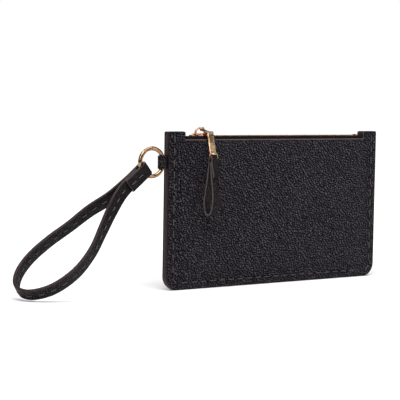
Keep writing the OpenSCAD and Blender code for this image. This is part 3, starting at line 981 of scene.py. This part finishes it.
def stirrup(shape):
    """The flared foot of the pull, with two prongs and the crossbar that the loop hangs on."""
    prong = 1.15
    half = 5.5 / 2 + 0.4 + prong
    top = PLATE_LEN - 0.8
    for turn in (-1, 1):
        path = [(turn * 2.0, top - 2.2), (turn * 2.7, top - 0.6), (turn * 3.3, top + 0.8),
                (turn * (half - prong / 2), top + 2.2), (turn * (half - prong / 2), BAR_DROP - 0.4),
                (turn * (half - prong / 2), BAR_DROP + 0.7)]
        rings = []
        for k, (across, down) in enumerate(path):
            w = prong / 2 * (0.85 if k in (0, 5) else 1)
            d = PULL_T / 2 * (0.8 if k in (0, 5) else 0.96)
            rings.append([on_plate(across + u, v, down) for u, v in oval(w, d, 12, 0.6)])
        loft(shape, rings)
    rings = []
    for a in (-half + 0.3, -half + 0.5, half - 0.5, half - 0.3):
        r = 0.7 if abs(a) < half - 0.4 else 0.5
        rings.append([on_plate(a, u, BAR_DROP + v) for u, v in oval(r, r, 16)])
    loft(shape, rings)
    low = top - 0.1
    rings = []
    for down, reach, thick in ((low - 0.6, 2.4, 0.8), (low - 0.3, 2.9, 0.98), (low + 0.4, 3.4, 1.0),
                               (low + 1.0, 3.7, 0.98), (low + 1.25, 3.6, 0.75)):
        rings.append([on_plate(u, v, down) for u, v in oval(reach, thick, 16, 0.5)])
    loft(shape, rings)


# ---------------------------------------------------------------- straps

def catmull(stations, steps):
    """A smooth curve through the stations, with a given number of steps between two."""
    p = [Vector(s) for s in stations]
    p = [2 * p[0] - p[1]] + p + [2 * p[-1] - p[-2]]
    out = []
    for i in range(1, len(p) - 2):
        a, b, c, d = p[i - 1:i + 3]
        for j in range(steps):
            t = j / steps
            out.append(0.5 * (2 * b + (c - a) * t + (2 * a - 5 * b + 4 * c - d) * t * t
                              + (3 * b - a - 3 * c + d) * t ** 3))
    out.append(p[-2])
    return out


class Route:
    """A strip's centre line with its width directions, which can be read at any length along it."""

    def __init__(self, points, wide):
        self.points = [Vector(p) for p in points]
        self.frames = []
        for t, across in zip(tangents_along(self.points), wide):
            w = Vector(across)
            w = (w - t * w.dot(t)).normalized()
            self.frames.append((t, w, t.cross(w)))
        self.lengths = [0.0]
        for a, b in zip(self.points, self.points[1:]):
            self.lengths.append(self.lengths[-1] + (b - a).length)

    def at(self, length):
        i = 0
        while i < len(self.lengths) - 2 and self.lengths[i + 1] < length:
            i += 1
        share = (length - self.lengths[i]) / max(1e-9, self.lengths[i + 1] - self.lengths[i])
        share = max(0.0, min(1.0, share))
        blend = [a.lerp(b, share).normalized() for a, b in zip(self.frames[i], self.frames[i + 1])]
        return self.points[i].lerp(self.points[i + 1], share), blend


def strip_section(half, low, high, round_r, dome):
    """Section of one ply: (across, height, is_edge) from one lower corner over the top to the other."""
    bends = [math.pi / 8 * j for j in range(5)]
    corner = [(half - round_r * (1 - math.cos(q)), high - round_r * (1 - math.sin(q))) for q in bends]
    points = [(-half, low, True), (-half - 0.06, (low + high - round_r) / 2, True)]
    points += [(-across, up, across != corner[-1][0]) for across, up in corner]
    inner = half - round_r
    for share in (-0.82, -0.6, -0.35, -0.2, -0.1, 0.0, 0.1, 0.2, 0.35, 0.6, 0.82):
        a = inner * share
        points.append((a, high + dome * (1 - share ** 2), False))
    points += [(across, up, True) for across, up in corner[::-1]]
    points += [(half + 0.06, (low + high - round_r) / 2, True), (half, low, True)]
    return points


def ribbon(shape, route, section, flip, dents):
    """Sweeps a ply's section along a route. flip puts it on the strip's inner face. Edges get mark 1."""
    rings = []
    for i, (p, (_, w, n)) in enumerate(zip(route.points, route.frames)):
        ring = []
        for across, height, _ in section:
            dent = 0.0
            if abs(across) < 1.6:
                for at, reach in dents:
                    off = abs(route.lengths[i] - at)
                    if off < reach + 1.2:
                        dent += 0.26 * math.exp(-(across / 0.75) ** 2) * ease((reach + 0.8 - off) / 0.9)
                        dent += 0.55 * math.exp(-((off - reach) ** 2 + across ** 2) / 0.4)
            side = -1 if flip else 1
            ring.append(p + w * across + n * side * (height - dent))
        rings.append(ring[::-1] if flip else ring)
    count = len(section)
    kinds = [section[k][2] and section[(k + 1) % count][2] for k in range(count)]
    kinds[-1] = False
    if flip:
        kinds = kinds[-2::-1] + kinds[-1:]
    kinds = kinds[::-1]
    loft(shape, [r[::-1] for r in rings], 1, side_mark=lambda _, k: 1 if kinds[(k + 1) % count] else 0)


STRAP_STITCH = 4.6
STRAP_PITCH = 8.7
STRAP_HALF = 5.2
PLY = 1.2
RAY_ANGLE = math.radians(219)
RAY = Vector((math.cos(RAY_ANGLE), 0, math.sin(RAY_ANGLE)))
ACROSS = Vector((math.sin(RAY_ANGLE), 0, -math.cos(RAY_ANGLE)))
HANG = Vector((-0.6, -0.42, 0.68))
SIDE = 3.0
FOLD_OUT = RING_R - 1.5
FLAP_LEN = 17.0
LOOP = [
    (-136, 3, 82.5), (-150, 5.5, 71.5), (-165, 11, 61.5), (-180, 15, 50), (-195, 18.5, 39.5),
    (-210, 20, 27.5), (-221, 17, 16), (-226, 8.5, 7.5), (-222, -3, 5), (-210, -13.5, 9.5),
    (-195, -19.5, 20.5), (-181, -18.5, 34.5), (-169, -13, 49), (-156.5, -6.5, 63.5), (-143.5, -0.5, 76)]
CAD_STEPS = 6
LOOP_STEPS = 15


def on_ray(out, y):
    return Vector((RING_X, y, RING_Z)) + RAY * out


def strap_route():
    step = 0.9
    count = int((RING_R + FLAP_LEN - FOLD_OUT) / step)
    flap = [on_ray(RING_R + FLAP_LEN - step * k, -SIDE) for k in range(count)]
    turn = [on_ray(FOLD_OUT - SIDE * math.cos(math.radians(a)), SIDE * math.sin(math.radians(a)))
            for a in range(-90, 91, 10)]
    loop = catmull([on_ray(RING_R + 1, SIDE)] + LOOP + [on_ray(RING_R + 3.4, 0)], LOOP_STEPS)
    wide = [ACROSS] * (len(flap) + len(turn))
    last = len(loop) - 1
    for i in range(len(loop)):
        away = min(i, last - i) * CAD_STEPS / LOOP_STEPS
        wide.append(ACROSS.lerp(HANG, ease((away - 6) / 20)))
    return Route(flap + turn + loop, wide), len(flap)


def surface_stitch(shape, route, at, flip):
    """One stitch of a strap, sunk at both ends, on the outer or the inner face."""
    path = []
    side = -1 if flip else 1
    for k in range(13):
        u = -1 + 2 * k / 12
        p, (_, _, n) = route.at(at + u * STRAP_STITCH / 2)
        path.append(p + n * side * (PLY + 0.18 - sunk_end(u, 1.1, 0.7)))
    thread(shape, path, 0.4)


def wrist_strap():
    route, flap_count = strap_route()
    total = route.lengths[-1]
    loop_start = route.lengths[flap_count + 19]
    first, last = loop_start + 14, total - 20
    count = int((last - first) / STRAP_PITCH)
    spots = [first + (last - first) * k / count for k in range(count + 1)]
    backs = [s + STRAP_PITCH / 2 for s in spots[:-1]]
    flap_spots = [4.2, 11.6]
    reach = STRAP_STITCH / 2
    section = strip_section(STRAP_HALF, 0.01, PLY, 0.5, 0.1)
    outer = Shape()
    ribbon(outer, route, section, False, [(s, reach) for s in spots + flap_spots])
    # The flap's cut end takes the lighter edge paint, a painted highlight.
    outer.marks[-2] = 2
    piece("strap_outer", outer, [STRAP, EDGE, EDGE_PAINTED_HIGHLIGHT], "wrist_strap",
          ["strap_outer_ply"], sharp=50)
    inner = Shape()
    ribbon(inner, route, section, True, [(s, reach) for s in backs])
    piece("strap_inner", inner, [STRAP, EDGE], "wrist_strap", ["strap_inner_ply"], sharp=50)
    stitches = Shape()
    for s in spots:
        surface_stitch(stitches, route, s, False)
    for s in backs:
        surface_stitch(stitches, route, s, True)
    piece("strap_stitches", stitches, [STRAP_THREAD], "wrist_strap", ["strap_stitching"])
    ends = Shape()
    for s in flap_spots:
        surface_stitch(ends, route, s, False)
    piece("flap_stitches", ends, [STRAP_THREAD], "wrist_strap", ["strap_end_stitching"])


PULL_LOOP = [
    (0, -7.9, 94), (-0.6, -7.2, 84), (-1.8, -6.7, 74), (-3, -6.8, 65), (-3.2, -10, 57.5),
    (-3, -15, 58.5), (-2.8, -17.2, 66), (-1.8, -16, 75), (-0.8, -12.8, 85)]
LOOP_T = 1.6
FLAP_LEAN = 0.25


def pull_route():
    mid = 0.7 + 0.1 + LOOP_T / 2

    def at_bar(y, z):
        return Vector((PULL_X, BAR.y + y, BAR.z + z))
    flap = [at_bar(-mid - FLAP_LEAN * max(0.0, -z - 3.0), z) for z in range(-14, -1, 1)]
    turn = [at_bar(mid * math.sin(math.radians(a)), mid * math.cos(math.radians(a)))
            for a in range(-90, 91, 12)]
    legs = catmull([at_bar(mid, -1.5)] + [Vector((PULL_X + x, y, z)) for x, y, z in PULL_LOOP]
                   + [at_bar(0, -3.2)], 12)
    points = flap + turn + legs
    return Route(points, [(1, 0, 0)] * len(points))


def pull_strap():
    route = pull_route()
    half = LOOP_T / 2
    full = Shape()
    section = strip_section(2.75, 0.0, half, 0.3, 0.05)
    both = section + [(a, -b, e) for a, b, e in section[-2:0:-1]]
    rings = []
    dents = [(4.0, 1.2), (8.0, 1.2)]
    for i, (p, (_, w, n)) in enumerate(zip(route.points, route.frames)):
        ring = []
        for across, height, _ in both:
            dent = 0.0
            if height > 0 and abs(across) < 1.2:
                for at, reach in dents:
                    off = abs(route.lengths[i] - at)
                    dent += 0.2 * math.exp(-(across / 0.6) ** 2) * ease((reach + 0.6 - off) / 0.7)
            ring.append(p + w * across + n * (height - dent))
        rings.append(ring[::-1])
    count = len(both)
    edges = [both[k][2] and both[(k + 1) % count][2] for k in range(count)]
    left = [both[k][0] + both[(k + 1) % count][0] < 0 for k in range(count)]

    # Left edges, turned to the camera and the light, take the lighter edge paint as painted highlight; right
    # edges take the dark edge paint as painted shade.
    def side_of(_, k):
        at = count - 1 - (k + 1) % count
        return 0 if not edges[at] else (1 if left[at] else 2)
    loft(full, rings, 1, side_mark=side_of)
    piece("pull_leather_loop", full, [STRAP, EDGE_PAINTED_HIGHLIGHT, EDGE_DARK_AND_PAINTED_SHADE], "pull_strap",
          ["pull_loop"], sharp=50)
    stitches = Shape()
    for at, reach in dents:
        path = []
        for k in range(11):
            u = -1 + 2 * k / 10
            p, (_, _, n) = route.at(at + u * reach)
            path.append(p + n * (half + 0.02 - sunk_end(u, 0.5, 0.6)))
        thread(stitches, path, 0.28)
    piece("pull_leather_stitches", stitches, [THREAD], "pull_strap", ["pull_loop_stitch"])


# ---------------------------------------------------------------- ring and its tab

def ring():
    """Cast ring with four plain grooves across its upper left."""
    turns = 180
    groove_at = [math.radians(a) for a in (101, 110, 119, 128)]
    rings = []
    for k in range(turns):
        q = 2 * math.pi * k / turns
        wire = WIRE_R
        for at in groove_at:
            wire -= 0.45 * math.exp(-((q - at) / math.radians(2.2)) ** 2)
        centre = Vector((RING_X + RING_R * math.cos(q), 0, RING_Z + RING_R * math.sin(q)))
        out = Vector((math.cos(q), 0, math.sin(q)))
        rings.append([centre + out * u + Vector((0, v, 0)) for u, v in oval(wire, wire, 28)])
    rings.append(rings[0])
    shape = Shape()
    loft(shape, rings, caps=False)
    piece("ring_wire", shape, [RING_GOLD], "ring", ["ring"])


def ring_tab():
    """A leather loop folded round the ring's wire and sewn between the two panels."""
    low, high = span("ring_tab")
    axis = RING_X + RING_R
    half_z = (high.z - low.z) / 2
    nose = axis - 0.8
    steps = 14
    shape = Shape()
    levels = [(-half_z, 0.15), (-half_z + 0.1, 0.05), (-half_z + 0.35, 0.0)]
    levels += [(-half_z + 0.35 + (2 * half_z - 0.7) * k / 8, 0.0) for k in range(1, 8)]
    levels += [(half_z - 0.35, 0.0), (half_z - 0.1, 0.05), (half_z, 0.15)]
    outer_rings, inner_rings = [], []
    for z, inset in levels:
        r = 3.5 - inset
        root = [(6.5, -1.36), (0.6, -1.38 + inset * 0.3), (-0.3, -1.7 + inset), (-1.2, -2.6 + inset)]
        outer = [Vector((-HALF_W + x, y, RING_Z + z)) for x, y in root]
        arc = [Vector((nose + r * math.cos(q), r * math.sin(q), RING_Z + z))
               for q in [math.radians(-68 - 224 * k / (2 * steps)) for k in range(2 * steps + 1)]]
        outer = outer + arc + [Vector((p.x, -p.y, p.z)) for p in outer[::-1]]
        outer_rings.append(outer)
        reach = math.sqrt(RING_R ** 2 - z * z)
        drift = RING_R - reach
        hole = WIRE_R * RING_R / reach + 0.1 + 0.87 * drift
        cx = axis - 0.5 * drift
        count = len(outer)
        inner_rings.append([Vector((cx + hole * math.cos(q), hole * math.sin(q), RING_Z + z))
                            for q in [math.radians(-8 - 344 * k / (count - 1)) for k in range(count)]])
    n = len(outer_rings[0])
    loft(shape, [r[::-1] for r in outer_rings], caps=False)
    loft(shape, inner_rings, caps=False)
    for rings_at, up in ((0, False), (-1, True)):
        points = outer_rings[rings_at] + inner_rings[rings_at]
        faces = []
        for k in range(n):
            m = (k + 1) % n
            quad = [k, m, n + m, n + k]
            faces.append(quad[::-1] if up else quad)
        shape.add(points, faces, 1)
    piece("tab", shape, [SMOOTH, EDGE_DARK_AND_PAINTED_SHADE], "pouch", ["ring_tab"], sharp=45)


# ---------------------------------------------------------------- studio

CAMERA_AT = (-0.7567, -0.9296, 0.1496)
CAMERA_YAW = 36.34
CAMERA_DOWN = 4.06
CAMERA_ROLL = 0.98
CAMERA_LENS = 136.5
WORLD_LIGHT = 0.12
SUN_POWER = 3.6
LIT_POINT = Vector((0, 0, 0.06))
FLOOR_HALF = 4.0


def camera():
    data = bpy.data.cameras.new("camera")
    data.lens = CAMERA_LENS
    data.sensor_width = 36
    data.clip_end = 20
    obj = new_object("camera", data)
    yaw, down, roll = (math.radians(a) for a in (CAMERA_YAW, CAMERA_DOWN, CAMERA_ROLL))
    ahead = Vector((math.sin(yaw) * math.cos(down), math.cos(yaw) * math.cos(down), -math.sin(down)))
    right = Vector((math.cos(yaw), -math.sin(yaw), 0))
    up = right.cross(ahead)
    turned_right = math.cos(roll) * right + math.sin(roll) * up
    turned_up = math.cos(roll) * up - math.sin(roll) * right
    turn = Matrix((turned_right, turned_up, -ahead)).transposed()
    obj.matrix_world = Matrix.Translation(CAMERA_AT) @ turn.to_4x4()
    bpy.context.scene.camera = obj


def area_light(name, at, size, power):
    """A soft panel that faces the middle of the pouch."""
    data = bpy.data.lights.new(name, "AREA")
    data.shape = "RECTANGLE"
    data.size, data.size_y = size
    data.energy = power
    obj = new_object(name, data)
    obj.location = at
    obj.rotation_euler = (LIT_POINT - Vector(at)).to_track_quat("-Z", "Y").to_euler()


def studio():
    """White surroundings for the camera, dimmer ones for the light, a wide soft sun and three panels."""
    world = bpy.data.worlds.new("studio")
    world.use_nodes = True
    tree = world.node_tree
    output = tree.nodes["World Output"]
    seen = tree.nodes["Background"]
    seen.inputs["Color"].default_value = (1, 1, 1, 1)
    seen.inputs["Strength"].default_value = 1.0
    lit = tree.nodes.new("ShaderNodeBackground")
    lit.inputs["Color"].default_value = (0.95, 0.93, 1.0, 1)
    lit.inputs["Strength"].default_value = WORLD_LIGHT
    path = tree.nodes.new("ShaderNodeLightPath")
    either = tree.nodes.new("ShaderNodeMixShader")
    tree.links.new(path.outputs["Is Camera Ray"], either.inputs[0])
    tree.links.new(lit.outputs[0], either.inputs[1])
    tree.links.new(seen.outputs[0], either.inputs[2])
    tree.links.new(either.outputs[0], output.inputs["Surface"])
    bpy.context.scene.world = world
    sun = bpy.data.lights.new("soft_sun", "SUN")
    sun.energy = SUN_POWER
    sun.angle = math.radians(60)
    new_object("soft_sun", sun).rotation_euler = Vector((-0.25, -0.35, 1)).to_track_quat("Z", "Y").to_euler()
    area_light("left_front", (-1.1, -0.5, 0.75), (0.5, 0.9), 5)
    area_light("right_front", (0.9, -1.1, 0.7), (0.3, 0.8), 3)
    area_light("behind", (0.3, 1.2, 0.9), (1.0, 0.5), 4)
    mesh = bpy.data.meshes.new("floor")
    corners = [(x * FLOOR_HALF, y * FLOOR_HALF, 0) for x, y in ((-1, -1), (1, -1), (1, 1), (-1, 1))]
    mesh.from_pydata(corners, [], [[0, 1, 2, 3]])
    mesh.materials.append(floor_material())
    floor = new_object("floor", mesh)
    bpy.context.scene.view_settings.view_transform = "Standard"


camera()
studio()
pouch_panel("front_leather", "front_panel", True)
pouch_panel("rear_leather", "rear_panel", False)
pouch_stitching("front_stitches", "front_stitching", True)
pouch_stitching("rear_stitches", "rear_stitching", False)
edge_welt()
lining_sheet("front_lining_cloth", "front_lining", True)
lining_sheet("rear_lining_cloth", "rear_lining", False)
card_pocket()
zip_tape("front_tape", "zip_tape_front", True)
zip_tape("rear_tape", "zip_tape_rear", False)
for is_front in (True, False):
    zip_lip(is_front)
    zip_teeth(is_front)
end_teeth()
zip_stops()
slider()
bail()
pull()
wrist_strap()
pull_strap()
ring()
ring_tab()
